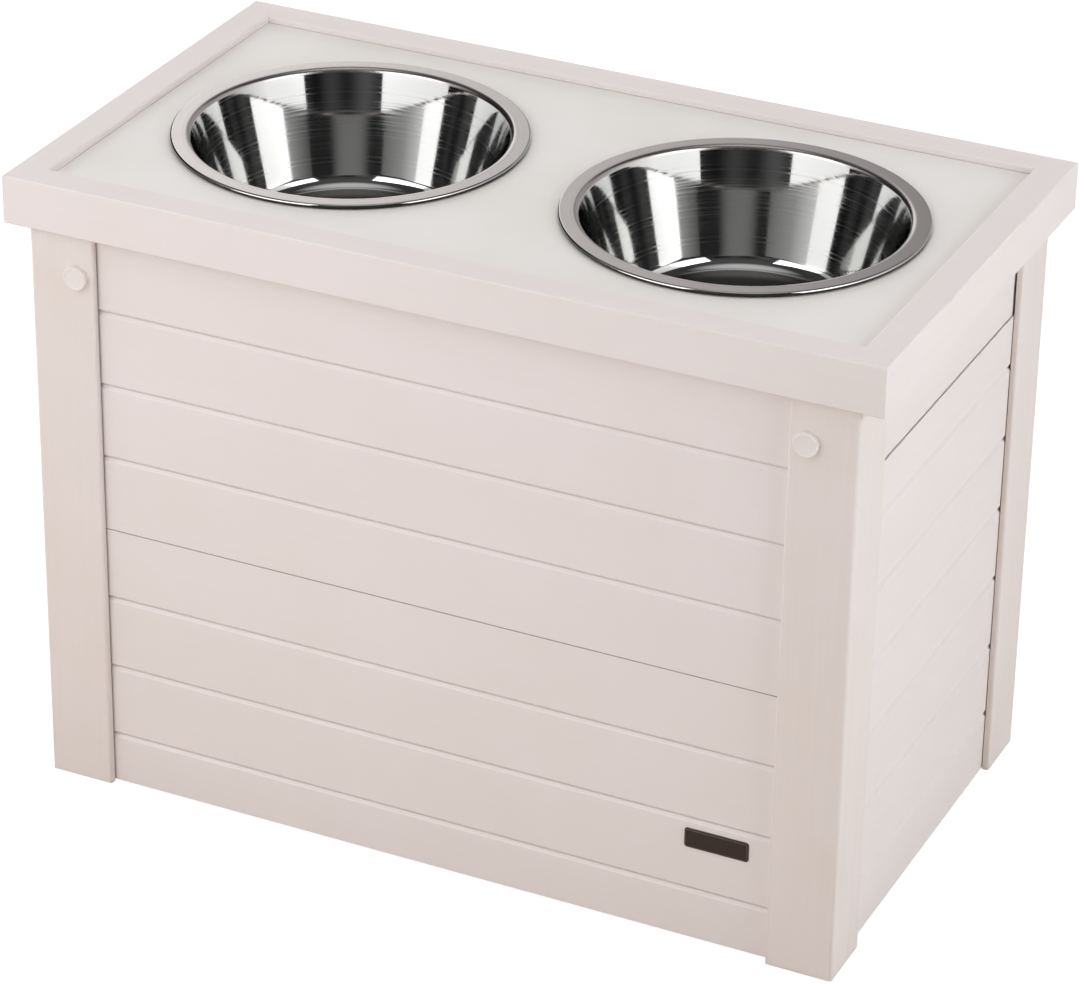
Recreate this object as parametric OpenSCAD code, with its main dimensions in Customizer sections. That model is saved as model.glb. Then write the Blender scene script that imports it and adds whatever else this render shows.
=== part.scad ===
// Raised feeder: a storage box of slotted posts and grooved boards under a hinged lid with two bowls
// Origin on the floor under the middle of the whole object, X along the front, Y to the rear, Z up

/* [Overall] */
// Length of the lid along the front
lid_length = 600; // [570:5:700]
// Depth of the lid from front to rear
lid_depth = 332.6; // [322:0.2:400]
// Height of the top of the lid above the floor
total_height = 436.9; // [400:0.1:520]
// How far the lid stands past the posts at each side
side_overhang = 16.1; // [6:0.1:20]
// How far the lid stands past the posts at the front
front_overhang = 4.6; // [4.2:0.1:12]

/* [Posts] */
// Width and depth of a corner post
post_size = 45.5; // [43:0.5:56]
// Radius of the long edges of a post
post_round = 1.8; // [0.5:0.1:2.4]
// Thickness of a post outside its slots
post_lip = 4.4; // [3.4:0.1:5.4]
// Thickness of the other walls of a post
post_wall = 2.8; // [2:0.1:3.4]
// Depth of the slots that take the boards
slot_depth = 19; // [17.5:0.5:20]
// Depth of the plugs in the ends of a post
plug_depth = 12; // [8:1:30]
// Thickness of a plug's face and sides
plug_wall = 2; // [1.5:0.1:2.4]
// Gap between a plug and the inside of the post
plug_clear = 0.2; // [0.1:0.05:0.3]

/* [Wall boards] */
// Thickness of the grooved boards
panel_thick = 10; // [9:0.5:11]
// Thickness of the skins and webs of a hollow board
panel_skin = 2; // [1.5:0.1:2.4]
// Height of one board face, from groove to groove
board_pitch = 52.3; // [46:0.1:55]
// Number of board faces in the upper front and rear panels
upper_boards = 4; // [3:1:5]
// Height of a groove on the face
groove_height = 4.8; // [3:0.1:6]
// Depth of a groove
groove_depth = 2.2; // [1:0.1:2.6]
// Gap in the slot on the outer side of the front and rear panels
front_panel_gap = 1.2; // [0.6:0.1:1.6]
// Gap in the slot on the outer side of the side panels
side_panel_gap = 0.5; // [0.3:0.1:0.9]
// Gap in the slot on the outer side of the side rails
side_rail_gap = 1.5; // [0.9:0.1:1.8]
// Gap in the slot on the inner side of the boards
slot_slack = 0.3; // [0.2:0.1:0.6]
// Gap between the end of a board and the bottom of its slot
slot_end_clear = 0.6; // [0.3:0.1:1]
// Height of the plain rail at the top of each side
side_rail_height = 59.5; // [40:0.5:90]
// Height of the topmost board face under the side rail
side_top_board = 37.2; // [20:0.1:52]
// Gap between the top of the boards and the top of the posts
panel_top_gap = 1; // [0.4:0.1:3]
// Gap between the bottom of the boards and the floor
floor_gap = 1; // [0.4:0.1:4]
// Height of the tongue between two boards
tongue_height = 5; // [3:0.5:7]
// Thickness of the tongue
tongue_thick = 3.2; // [2:0.1:3.6]
// Gap on each side of the tongue
tongue_clear = 0.2; // [0.1:0.05:0.4]
// Visible seam between two boards
seam_gap = 0.5; // [0.2:0.1:1]

/* [Floor] */
// Thickness of the floor panel
floor_thick = 6; // [4:0.5:10]
// Gap all round the floor panel
floor_clear = 1; // [0.5:0.1:3]
// Height of the cleats that carry the floor panel
cleat_height = 16; // [12:1:24]
// Width of the cleats
cleat_width = 16; // [12:1:18]
// Height of the cleats above the floor
cleat_lift = 4; // [2:1:12]
// Distance of the outer cleat screws from the middle
cleat_screw_spread = 170; // [120:5:190]
// Length of a cleat screw
cleat_screw_length = 22; // [20:0.5:23]

/* [Pegs] */
// Diameter of a peg's head
peg_head_diameter = 16.5; // [14:0.5:21]
// Height of a peg's head
peg_head_height = 4; // [2.5:0.1:4.4]
// Radius of the rim of a peg's head
peg_rim = 1.2; // [0.6:0.1:1.6]
// Depth of the hollow in a peg's head
peg_dish = 0.5; // [0.2:0.1:1]
// Diameter of a peg's shank
peg_shank_diameter = 6.5; // [5:0.1:7.5]
// Distance of a peg from the inner edge of its post
peg_edge = 12; // [10.5:0.1:12.5]
// Distance of a peg below the top of its post
peg_drop = 29; // [26:0.5:40]
// Gap round a peg's shank
peg_clear = 0.2; // [0.1:0.05:0.4]
// How far a peg reaches into the hollow of its post
peg_reach = 4; // [2:0.5:10]
// Bevel at the end of a peg's shank
peg_tip = 1; // [0.5:0.1:1.5]

/* [Lid] */
// Height of the lid's frame
lid_height = 33.1; // [30:0.1:44]
// Width of the lid's rails
rail_width = 22; // [20:0.5:26]
// Thickness of the walls of a hollow rail
rail_wall = 2.6; // [2:0.1:3]
// Radius of the long edges of a rail
rail_round = 1.2; // [0.4:0.1:2]
// Depth of the board's top below the top of the frame
board_drop = 4.7; // [3:0.1:7]
// Thickness of the lid board
board_thick = 9; // [7:0.5:10]
// How far the board reaches into the rails
board_tongue = 8.5; // [6:0.5:9]
// Gap above and below the board in the rails
board_clear = 0.2; // [0.1:0.05:0.3]
// Gap between the board's edge and the bottom of its groove
board_end_clear = 0.5; // [0.3:0.1:1]
// Gap between the closed lid and the posts
lid_gap = 0.3; // [0.2:0.1:0.8]
// Length of the arms of a corner key
key_arm = 40; // [26:1:60]
// Gap round a corner key
key_clear = 0.2; // [0.1:0.05:0.4]

/* [Bowls] */
// Outer diameter of a bowl's rim
bowl_rim_diameter = 234.2; // [228:0.2:240]
// Diameter at which the sloping wall would meet the flat of the rim
bowl_mouth_diameter = 209; // [190:0.5:212]
// Diameter at which the sloping wall would meet the bottom
bowl_foot_diameter = 163.4; // [120:0.2:184]
// Depth of a bowl inside
bowl_depth = 77; // [50:1:100]
// Thickness of the steel
bowl_wall = 0.8; // [0.6:0.1:1.2]
// Radius from the rim into the wall
bowl_lip_round = 5; // [2:0.1:6]
// Radius from the wall into the bottom
bowl_foot_round = 5; // [3:0.5:20]
// Radius of the bead round the rim
bowl_bead = 1.5; // [1.2:0.1:1.8]
// Distance between the middles of the two bowls
bowl_spacing = 277.6; // [262:0.2:286]
// Gap between a bowl and its hole in the lid board
bowl_hole_clear = 1.5; // [0.6:0.1:3]
// Gap between the bead and the lid board
bowl_seat_gap = 0.3; // [0.2:0.1:0.6]

/* [Hinges] */
// Length of a hinge
hinge_length = 38; // [32:1:42]
// Height of a hinge leaf, from the pin to its edge
leaf_height = 14; // [13:0.5:16]
// Thickness of a hinge leaf
leaf_thick = 1.6; // [1.2:0.1:2]
// Radius of the knuckles
knuckle_radius = 2.5; // [2.2:0.1:3.5]
// Number of knuckles in a hinge
knuckle_count = 5; // [3:2:7]
// Gap between two knuckles
knuckle_gap = 0.3; // [0.2:0.1:0.6]
// Gap between the knuckles and the rear of the posts
hinge_stand = 0.3; // [0.2:0.1:1]
// Radius of the hinge pins
pin_radius = 1.2; // [0.8:0.05:1.4]
// Running gap round a hinge pin
pin_clear = 0.05; // [0.02:0.01:0.1]
// Height of the heads of a hinge pin
pin_head = 0.8; // [0.5:0.1:1.5]
// Distance of the hinge screws from the middle of the hinge
hinge_screw_spread = 12; // [8:0.5:14]
// Distance of the hinge screws from the pin
hinge_screw_drop = 9; // [8:0.5:10]
// Length of a hinge screw
hinge_screw_length = 14; // [8:0.5:16]

/* [Screws] */
// Radius of a screw's shank
screw_radius = 1.6; // [1.2:0.1:1.8]
// Radius of a screw's head
screw_head_radius = 3.1; // [2.6:0.1:3.2]
// Gap round a screw
screw_clear = 0.1; // [0.05:0.05:0.2]
// Width of the cross recess
cross_width = 0.9; // [0.6:0.1:1.1]
// Length of the cross recess
cross_length = 3.8; // [3:0.1:4.4]
// Depth of the cross recess
cross_depth = 0.9; // [0.5:0.1:1.1]
// Length of a screw's point
screw_tip = 3.2; // [2:0.1:4]
// Radius at the end of a screw's point
screw_point = 0.4; // [0.2:0.1:0.8]

/* [Badge] */
// Length of the plain plate on the front
badge_length = 44; // [20:1:80]
// Height of the plate
badge_height = 14; // [8:0.5:18]
// Thickness of the plate
badge_thick = 1.2; // [0.8:0.1:2]
// Radius of the plate's corners
badge_round = 2; // [0.5:0.1:3]
// Distance of the plate's end from the right post
badge_side = 16; // [4:1:60]
// Distance of the plate's middle below the groove above it
badge_drop = 13.4; // [10:0.1:40]
// Width of the plate's lower border
badge_border = 1; // [0.5:0.1:1.5]

/* [Hidden] */

// Smoothness of large and of small round shapes
$fn = 64;
small_fn = 32;
// How far a cutting shape reaches past the face that it cuts, or a joined one into its neighbour
bite = 1;

// Colours as seen
body_color = [0.90, 0.87, 0.85];
board_color = [0.88, 0.87, 0.84];
inner_color = [0.80, 0.78, 0.75];
steel_color = [0.72, 0.72, 0.73];
badge_color = [0.25, 0.21, 0.18];

// Front and rear faces of the lid, with the hinge knuckles behind it
hinge_out = 2 * knuckle_radius + hinge_stand;
lid_front_y = -(lid_depth + hinge_out) / 2;
lid_rear_y = lid_front_y + lid_depth;
lid_mid_y = lid_front_y + lid_depth / 2;

// Outer faces of the posts
post_x = lid_length / 2 - side_overhang;
post_front_y = lid_front_y + front_overhang;
post_rear_y = lid_rear_y;
post_mid_y = (post_front_y + post_rear_y) / 2;
post_height = total_height - lid_height - lid_gap;
lid_z = post_height + lid_gap;

// Slot and hollow of a post, measured from its outer faces
slot_width = front_panel_gap + panel_thick + slot_slack;
slot_start = post_size - slot_depth;
outer_hollow = [post_wall, slot_start - post_wall];
inner_hollow = [post_lip + slot_width + post_wall, post_size - post_wall];

// Boards between the slots
panel_recess = post_lip + front_panel_gap;
side_recess = post_lip + side_panel_gap;
rail_recess = post_lip + side_rail_gap;
side_rail_thick = slot_width - side_rail_gap - slot_slack;
board_inset = slot_start + slot_end_clear;
front_board_length = 2 * (post_x - board_inset);
side_board_length = post_rear_y - post_front_y - 2 * board_inset;
boards_top = post_height - panel_top_gap;
front_joint = boards_top - upper_boards * board_pitch;
side_joint = boards_top - side_rail_height;
edge_solid = tongue_height + panel_skin;
groove_web = groove_height + panel_skin;
socket_depth = tongue_height - seam_gap;

// Pegs, from the top of the posts
peg_z = post_height - peg_drop;
peg_bore_radius = peg_shank_diameter / 2 + peg_clear;
peg_length = post_lip + slot_width + post_wall + peg_reach;

// Floor
cleat_top = cleat_lift + cleat_height;
cleat_y = panel_recess + panel_thick;
floor_x = post_x - side_recess - panel_thick - floor_clear;
floor_y = cleat_y + floor_clear;
post_inner = post_size + floor_clear;

// Lid frame and board
groove_in = board_tongue + board_end_clear;
groove_low = lid_height - board_drop - board_thick - board_clear;
board_top = lid_z + lid_height - board_drop;
board_x = lid_length / 2 - rail_width + board_tongue;
board_y = lid_depth / 2 - rail_width + board_tongue;
key_low = rail_wall + key_clear;
key_high = groove_low - rail_wall - key_clear;

// Bowl profile, with zero at the top of the rim
rim_radius = bowl_rim_diameter / 2;
mouth_radius = bowl_mouth_diameter / 2;
foot_radius = bowl_foot_diameter / 2;
hole_radius = mouth_radius + bowl_wall + bowl_hole_clear;
bowl_top = board_top + bowl_seat_gap + 2 * bowl_bead;
wall_slope = atan2(bowl_depth, mouth_radius - foot_radius);
foot_center = foot_radius - bowl_foot_round * tan(wall_slope / 2);
lip_center = mouth_radius + bowl_lip_round * tan(wall_slope / 2);
arc_steps = 10;

// Hinge pin line
pin_y = lid_rear_y + hinge_stand + knuckle_radius;
pin_z = post_height + lid_gap / 2;
hinge_x = post_x - post_size / 2;
knuckle_step = hinge_length / knuckle_count;
screw_head_height = screw_head_radius - screw_radius;

// Heights of the grooves above the lower edge of a panel, lowest first
function cut_levels(high, first) = let (count = floor((high - first - groove_height) / board_pitch))
    [for (k = [count:-1:0]) high - first - k * board_pitch];

// Points on an arc about a centre, from one angle to another
function arc(center, radius, from, to, steps = arc_steps) =
    [for (k = [0:steps]) let (a = from + (to - from) * k / steps)
        [center[0] + radius * cos(a), center[1] + radius * sin(a)]];

// Rectangle with four round corners
module rounded_rect(wide, high, radius) {
    translate([radius, 0]) square([wide - 2 * radius, high]);
    translate([0, radius]) square([wide, high - 2 * radius]);
    for (x = [radius, wide - radius], y = [radius, high - radius])
        translate([x, y]) circle(radius, $fn = small_fn);
}

// Puts a post's outer corner at the origin, with the post towards +X and +Y
module at_post(side, rear) {
    translate([side * post_x, rear ? post_rear_y : post_front_y, 0])
        mirror([side > 0 ? 1 : 0, 0, 0])
            mirror([0, rear ? 1 : 0, 0])
                children();
}

// Puts the outer faces of the front or rear posts at zero, with +Y inwards
module at_wall(rear) {
    translate([0, rear ? post_rear_y : post_front_y, 0])
        mirror([0, rear ? 1 : 0, 0])
            children();
}

// Puts the outer faces of the left or right posts at zero, with +X inwards
module at_side(side) {
    translate([side * post_x, post_mid_y, 0])
        mirror([side > 0 ? 1 : 0, 0, 0])
            children();
}

// Hollow space of a post, or with an inset the plug that fits it
module post_hollow(inset) {
    for (span = [outer_hollow, inner_hollow])
        translate([span[0] + inset, span[0] + inset])
            square(span[1] - span[0] - 2 * inset);
}

module post_section() {
    difference() {
        rounded_rect(post_size, post_size, post_round);
        post_hollow(0);
        translate([slot_start, post_lip]) square([slot_depth + bite, slot_width]);
        translate([post_lip, slot_start]) square([slot_width, slot_depth + bite]);
    }
}

// Bores of the peg in one post
module peg_bore(side, rear) {
    at_post(side, rear)
        translate([post_size - peg_edge, -bite, peg_z])
            rotate([-90, 0, 0])
                cylinder(h = inner_hollow[0] + 2 * bite, r = peg_bore_radius, $fn = small_fn);
}

// Lines of the hinge screws: up is 1 for the lid's leaf and -1 for the post's leaf
module at_hinge_screws(side, up) {
    for (x = [-hinge_screw_spread, hinge_screw_spread])
        translate([side * hinge_x + x, lid_rear_y + leaf_thick, pin_z + up * hinge_screw_drop])
            rotate([-90, 0, 0])
                children();
}

module screw_bore(long) {
    translate([0, 0, -long - bite])
        cylinder(h = long + 2 * bite, r = screw_radius + screw_clear, $fn = small_fn);
}

module screw_sink() {
    radius = screw_head_radius + screw_clear;
    translate([0, 0, -screw_head_height])
        cylinder(h = screw_head_height, r1 = screw_radius + screw_clear, r2 = radius, $fn = small_fn);
    cylinder(h = bite, r = radius, $fn = small_fn);
}

// Countersunk screw with its head at zero and its point down
module screw(long) {
    difference() {
        union() {
            translate([0, 0, -screw_head_height])
                cylinder(h = screw_head_height, r1 = screw_radius, r2 = screw_head_radius, $fn = small_fn);
            translate([0, 0, screw_tip - long])
                cylinder(h = long - screw_tip - screw_head_height, r = screw_radius, $fn = small_fn);
            translate([0, 0, -long])
                cylinder(h = screw_tip, r1 = screw_point, r2 = screw_radius, $fn = small_fn);
        }
        for (turn = [0, 90])
            rotate([0, 0, turn])
                translate([-cross_length / 2, -cross_width / 2, -cross_depth])
                    cube([cross_length, cross_width, cross_depth + bite]);
    }
}

module post(side, rear) {
    color(body_color) difference() {
        at_post(side, rear) linear_extrude(post_height) post_section();
        peg_bore(side, rear);
        if (rear) at_hinge_screws(side, -1) screw_bore(hinge_screw_length);
    }
}

// Section of a hollow board, with its face at zero and its thickness towards +X
module panel_section(thick, high, cuts, tongue, socket, middle) {
    levels = concat([0], cuts, [high]);
    last = len(levels) - 2;
    difference() {
        union() {
            square([thick, high]);
            if (tongue)
                translate([middle - tongue_thick / 2, high - bite])
                    square([tongue_thick, tongue_height + bite]);
        }
        for (level = cuts) v_groove(level);
        if (socket)
            translate([middle - tongue_thick / 2 - tongue_clear, -bite])
                square([tongue_thick + 2 * tongue_clear, socket_depth + bite]);
        for (i = [0:last])
            board_cells(thick,
                levels[i] + (i == 0 ? edge_solid : groove_web / 2),
                levels[i + 1] - (i == last ? edge_solid : groove_web / 2));
    }
}

// Groove with equal slopes, cut past the face of the board
module v_groove(level) {
    half = groove_height / 2 * (groove_depth + bite) / groove_depth;
    polygon([[-bite, level - half], [groove_depth, level], [-bite, level + half]]);
}

// The two cells behind one board face, with a web between them
module board_cells(thick, low, high) {
    cell = (high - low - panel_skin) / 2;
    if (cell > panel_skin)
        for (start = [low, low + cell + panel_skin])
            translate([panel_skin, start]) square([thick - 2 * panel_skin, cell]);
}

// Board across the front or rear, at a height above the floor
module long_board(rear, low) {
    at_wall(rear)
        translate([0, panel_recess, low])
            rotate([90, 0, 90])
                linear_extrude(front_board_length, center = true)
                    children();
}

module upper_panel(rear) {
    high = boards_top - front_joint;
    cuts = cut_levels(high, board_pitch);
    color(body_color) difference() {
        long_board(rear, front_joint)
            panel_section(panel_thick, high, cuts, false, true, panel_thick / 2);
        for (side = [-1, 1]) peg_bore(side, rear);
        if (rear)
            for (side = [-1, 1])
                at_hinge_screws(side, -1) screw_bore(hinge_screw_length);
    }
}

module lower_panel(rear) {
    high = front_joint - seam_gap - floor_gap;
    cuts = cut_levels(high, board_pitch - seam_gap);
    color(body_color) difference() {
        long_board(rear, floor_gap)
            panel_section(panel_thick, high, cuts, true, false, panel_thick / 2);
        at_cleat_screws(rear) screw_bore(cleat_screw_length);
    }
}

// Board across a side, at a height above the floor
module side_board(side, recess, low) {
    at_side(side)
        translate([recess, 0, low])
            rotate([90, 0, 0])
                linear_extrude(side_board_length, center = true)
                    children();
}

module side_rail(side) {
    socket_middle = side_recess + panel_thick / 2 - rail_recess;
    color(body_color)
        side_board(side, rail_recess, side_joint)
            panel_section(side_rail_thick, side_rail_height, [], false, true, socket_middle);
}

module side_panel(side) {
    high = side_joint - seam_gap - floor_gap;
    cuts = cut_levels(high, side_top_board - seam_gap);
    color(body_color)
        side_board(side, side_recess, floor_gap)
            panel_section(panel_thick, high, cuts, true, false, panel_thick / 2);
}

module floor_panel() {
    depth = post_rear_y - post_front_y - 2 * floor_y;
    color(board_color) difference() {
        translate([-floor_x, post_front_y + floor_y, cleat_top]) cube([2 * floor_x, depth, floor_thick]);
        for (side = [-1, 1], rear = [false, true])
            at_post(side, rear)
                translate([-bite, -bite, cleat_top - bite])
                    cube([post_inner + bite, post_inner + bite, floor_thick + 2 * bite]);
    }
}

module at_cleat_screws(rear) {
    at_wall(rear)
        for (x = [-cleat_screw_spread, 0, cleat_screw_spread])
            translate([x, cleat_y + cleat_width, cleat_lift + cleat_height / 2])
                rotate([-90, 0, 0])
                    children();
}

module floor_cleat(rear) {
    long = 2 * (post_x - post_inner);
    color(board_color) difference() {
        at_wall(rear) translate([-long / 2, cleat_y, cleat_lift]) cube([long, cleat_width, cleat_height]);
        at_cleat_screws(rear) {
            screw_bore(cleat_screw_length);
            screw_sink();
        }
    }
}

module cleat_screws() {
    color(steel_color)
        for (rear = [false, true])
            at_cleat_screws(rear) screw(cleat_screw_length);
}

// Headed peg along its own axis: head above zero, shank below
module peg_shape() {
    head = peg_head_diameter / 2;
    shank = peg_shank_diameter / 2;
    rotate_extrude()
        polygon(concat(
            [[0, -peg_length], [shank - peg_tip, -peg_length], [shank, peg_tip - peg_length]],
            [[shank, 0], [head, 0]],
            arc([head - peg_rim, peg_head_height - peg_rim], peg_rim, 0, 90),
            [[head - 2 * peg_rim, peg_head_height - peg_dish], [0, peg_head_height - peg_dish]]));
}

module peg(side, rear) {
    color(body_color)
        at_post(side, rear)
            translate([post_size - peg_edge, 0, peg_z])
                rotate([90, 0, 0])
                    peg_shape();
}

// Plug in the end of a post, with its closed face down
module plug_shape() {
    difference() {
        linear_extrude(plug_depth) post_hollow(plug_clear);
        translate([0, 0, plug_wall]) linear_extrude(plug_depth) post_hollow(plug_clear + plug_wall);
    }
}

module post_foot_plugs() {
    color(inner_color)
        for (side = [-1, 1], rear = [false, true])
            at_post(side, rear) plug_shape();
}

module post_top_plugs() {
    color(inner_color) difference() {
        for (side = [-1, 1], rear = [false, true])
            at_post(side, rear)
                translate([0, 0, post_height]) mirror([0, 0, 1]) plug_shape();
        for (side = [-1, 1])
            at_hinge_screws(side, -1) screw_bore(hinge_screw_length);
    }
}

module badge_plate() {
    right = post_x - post_size - badge_side;
    middle = front_joint - 2 * board_pitch - badge_drop;
    raised = [badge_length - 2 * badge_border, badge_height - 2 * badge_border];
    color(badge_color)
        translate([right - badge_length, post_front_y + panel_recess, middle - badge_height / 2])
            rotate([90, 0, 0]) {
                linear_extrude(badge_thick / 2) rounded_rect(badge_length, badge_height, badge_round);
                translate([badge_border, badge_border, 0])
                    linear_extrude(badge_thick) rounded_rect(raised[0], raised[1], badge_round / 2);
            }
}

// Section of a lid rail, with its outer face at zero
module rail_section() {
    difference() {
        rounded_rect(rail_width, lid_height, rail_round);
        translate([rail_width - groove_in, groove_low])
            square([groove_in + bite, board_thick + 2 * board_clear]);
        translate([rail_wall, rail_wall])
            square([rail_width - 2 * rail_wall, groove_low - 2 * rail_wall]);
        translate([rail_wall, groove_low - rail_wall - bite])
            square([rail_width - groove_in - 2 * rail_wall, lid_height - groove_low + bite]);
    }
}

// Rail along the front, mitred at both ends
module long_rail() {
    x = lid_length / 2;
    y = lid_depth / 2;
    intersection() {
        translate([0, -y, 0]) rotate([90, 0, 90]) linear_extrude(lid_length, center = true) rail_section();
        linear_extrude(lid_height)
            polygon([[-x, -y], [x, -y], [x - rail_width, rail_width - y], [rail_width - x, rail_width - y]]);
    }
}

// Rail along the left side, mitred at both ends
module short_rail() {
    x = lid_length / 2;
    y = lid_depth / 2;
    intersection() {
        translate([-x, 0, 0]) rotate([90, 0, 0]) linear_extrude(lid_depth, center = true) rail_section();
        linear_extrude(lid_height)
            polygon([[-x, -y], [-x, y], [rail_width - x, y - rail_width], [rail_width - x, rail_width - y]]);
    }
}

module lid_long_rail(rear) {
    color(body_color) difference() {
        translate([0, lid_mid_y, lid_z]) mirror([0, rear ? 1 : 0, 0]) long_rail();
        if (rear)
            for (side = [-1, 1])
                at_hinge_screws(side, 1) screw_bore(hinge_screw_length);
    }
}

module lid_short_rail(side) {
    color(body_color)
        translate([0, lid_mid_y, lid_z]) mirror([side > 0 ? 1 : 0, 0, 0]) short_rail();
}

module lid_board() {
    color(board_color) difference() {
        translate([-board_x, lid_mid_y - board_y, board_top - board_thick])
            cube([2 * board_x, 2 * board_y, board_thick]);
        for (side = [-1, 1])
            translate([side * bowl_spacing / 2, lid_mid_y, board_top - board_thick - bite])
                cylinder(h = board_thick + 2 * bite, r = hole_radius);
    }
}

module lid_corner_keys() {
    wide = rail_width - 2 * key_low;
    color(inner_color) difference() {
        for (side = [-1, 1], end = [-1, 1])
            translate([side * lid_length / 2, lid_mid_y + end * lid_depth / 2, lid_z + key_low])
                mirror([side > 0 ? 1 : 0, 0, 0])
                    mirror([0, end > 0 ? 1 : 0, 0])
                        translate([key_low, key_low, 0]) {
                            cube([key_arm, wide, key_high - key_low]);
                            cube([wide, key_arm, key_high - key_low]);
                        }
        for (side = [-1, 1])
            at_hinge_screws(side, 1) screw_bore(hinge_screw_length);
    }
}

// Bowl section: the inside from the middle outwards, then the outside back again
module bowl_section() {
    foot = [foot_center, bowl_foot_round - bowl_depth];
    lip = [lip_center, -bowl_lip_round];
    edge = rim_radius - bowl_bead;
    curl = 180 + asin((bowl_bead - bowl_wall) / bowl_bead);
    outer_round = bowl_foot_round + bowl_wall;
    polygon(concat(
        [[0, -bowl_depth]],
        arc(foot, bowl_foot_round, -90, wall_slope - 90),
        arc(lip, bowl_lip_round, 90 + wall_slope, 90),
        arc([edge, -bowl_bead], bowl_bead, 90, -curl, 2 * arc_steps),
        arc(lip, bowl_lip_round - bowl_wall, 90, 90 + wall_slope),
        arc(foot, outer_round, wall_slope - 90, -90),
        [[0, -bowl_depth - bowl_wall]]));
}

module bowl(side) {
    color(steel_color)
        translate([side * bowl_spacing / 2, lid_mid_y, bowl_top])
            rotate_extrude() bowl_section();
}

// One leaf, with the pin along X at zero and the plate upwards. It owns every second knuckle
module leaf_shape(first) {
    back = -knuckle_radius - hinge_stand;
    plate_low = knuckle_radius + knuckle_gap;
    difference() {
        union() {
            translate([-hinge_length / 2, back, plate_low])
                cube([hinge_length, leaf_thick, leaf_height - plate_low]);
            for (k = [first:2:knuckle_count - 1])
                translate([(k - knuckle_count / 2) * knuckle_step + knuckle_gap / 2, 0, 0]) {
                    translate([0, back, 0])
                        cube([knuckle_step - knuckle_gap, leaf_thick, plate_low + bite]);
                    rotate([0, 90, 0])
                        cylinder(h = knuckle_step - knuckle_gap, r = knuckle_radius, $fn = small_fn);
                }
        }
        rotate([0, 90, 0])
            cylinder(h = hinge_length + bite, r = pin_radius + pin_clear, center = true, $fn = small_fn);
    }
}

module post_leaf(side) {
    color(steel_color) difference() {
        translate([side * hinge_x, pin_y, pin_z]) mirror([0, 0, 1]) leaf_shape(0);
        at_hinge_screws(side, -1) {
            screw_bore(leaf_thick);
            screw_sink();
        }
    }
}

module lid_leaf(side) {
    color(steel_color) difference() {
        translate([side * hinge_x, pin_y, pin_z]) leaf_shape(1);
        at_hinge_screws(side, 1) {
            screw_bore(leaf_thick);
            screw_sink();
        }
    }
}

module hinge_pins() {
    head_radius = (pin_radius + knuckle_radius) / 2;
    long = hinge_length + 2 * pin_head;
    color(steel_color)
        for (side = [-1, 1])
            translate([side * hinge_x, pin_y, pin_z])
                rotate([0, 90, 0]) {
                    cylinder(h = long, r = pin_radius, center = true, $fn = small_fn);
                    for (end = [-long / 2, hinge_length / 2])
                        translate([0, 0, end]) cylinder(h = pin_head, r = head_radius, $fn = small_fn);
                }
}

module hinge_screws(up) {
    color(steel_color)
        for (side = [-1, 1])
            at_hinge_screws(side, up) screw(hinge_screw_length);
}

post(-1, false);  // front_left_post
post(1, false);  // front_right_post
post(-1, true);  // rear_left_post
post(1, true);  // rear_right_post
upper_panel(false);  // front_upper_panel
lower_panel(false);  // front_lower_panel
upper_panel(true);  // rear_upper_panel
lower_panel(true);  // rear_lower_panel
side_rail(-1);  // left_side_rail
side_rail(1);  // right_side_rail
side_panel(-1);  // left_side_panel
side_panel(1);  // right_side_panel
floor_panel();
floor_cleat(false);  // front_floor_cleat
floor_cleat(true);  // rear_floor_cleat
cleat_screws();
peg(-1, false);  // front_left_peg
peg(1, false);  // front_right_peg
peg(-1, true);  // rear_left_peg
peg(1, true);  // rear_right_peg
post_top_plugs();
post_foot_plugs();
badge_plate();
post_leaf(-1);  // left_hinge_post_leaf
post_leaf(1);  // right_hinge_post_leaf
hinge_pins();
hinge_screws(-1);  // hinge_post_screws
lid_long_rail(false);  // lid_front_rail
lid_long_rail(true);  // lid_rear_rail
lid_short_rail(-1);  // lid_left_rail
lid_short_rail(1);  // lid_right_rail
lid_board();
lid_corner_keys();
lid_leaf(-1);  // left_hinge_lid_leaf
lid_leaf(1);  // right_hinge_lid_leaf
hinge_screws(1);  // hinge_lid_screws
bowl(-1);  // left_bowl
bowl(1);  // right_bowl
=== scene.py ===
"""Raised dog feeder: a composite storage box with a hinged lid that holds two steel bowls.

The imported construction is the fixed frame. This script gives every piece its finish, turns
the bowls as smooth shells and sets up the studio. Lengths are in metres unless a name says
millimetres, and angles in degrees. X runs along the front, Y to the rear and Z up.
"""

import logging
import math
from dataclasses import dataclass
from enum import Enum
from typing import Sequence

import bmesh
import bpy
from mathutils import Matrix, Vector


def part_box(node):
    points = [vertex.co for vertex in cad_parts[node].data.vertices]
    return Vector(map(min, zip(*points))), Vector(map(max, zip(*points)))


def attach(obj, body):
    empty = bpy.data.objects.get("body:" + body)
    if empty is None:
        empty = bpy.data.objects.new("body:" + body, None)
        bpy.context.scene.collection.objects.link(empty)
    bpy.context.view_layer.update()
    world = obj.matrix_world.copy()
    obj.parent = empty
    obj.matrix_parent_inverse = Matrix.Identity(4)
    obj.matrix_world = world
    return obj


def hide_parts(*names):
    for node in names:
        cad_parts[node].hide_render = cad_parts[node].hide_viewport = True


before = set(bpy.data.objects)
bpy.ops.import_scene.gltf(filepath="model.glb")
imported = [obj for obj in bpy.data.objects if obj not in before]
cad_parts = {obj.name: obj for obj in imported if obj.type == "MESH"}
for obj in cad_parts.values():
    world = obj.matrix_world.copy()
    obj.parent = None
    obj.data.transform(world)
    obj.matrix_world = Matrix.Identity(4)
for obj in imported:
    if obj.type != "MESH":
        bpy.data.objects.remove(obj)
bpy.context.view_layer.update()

MM = 0.001
LOG = logging.getLogger("feeder")

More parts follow.
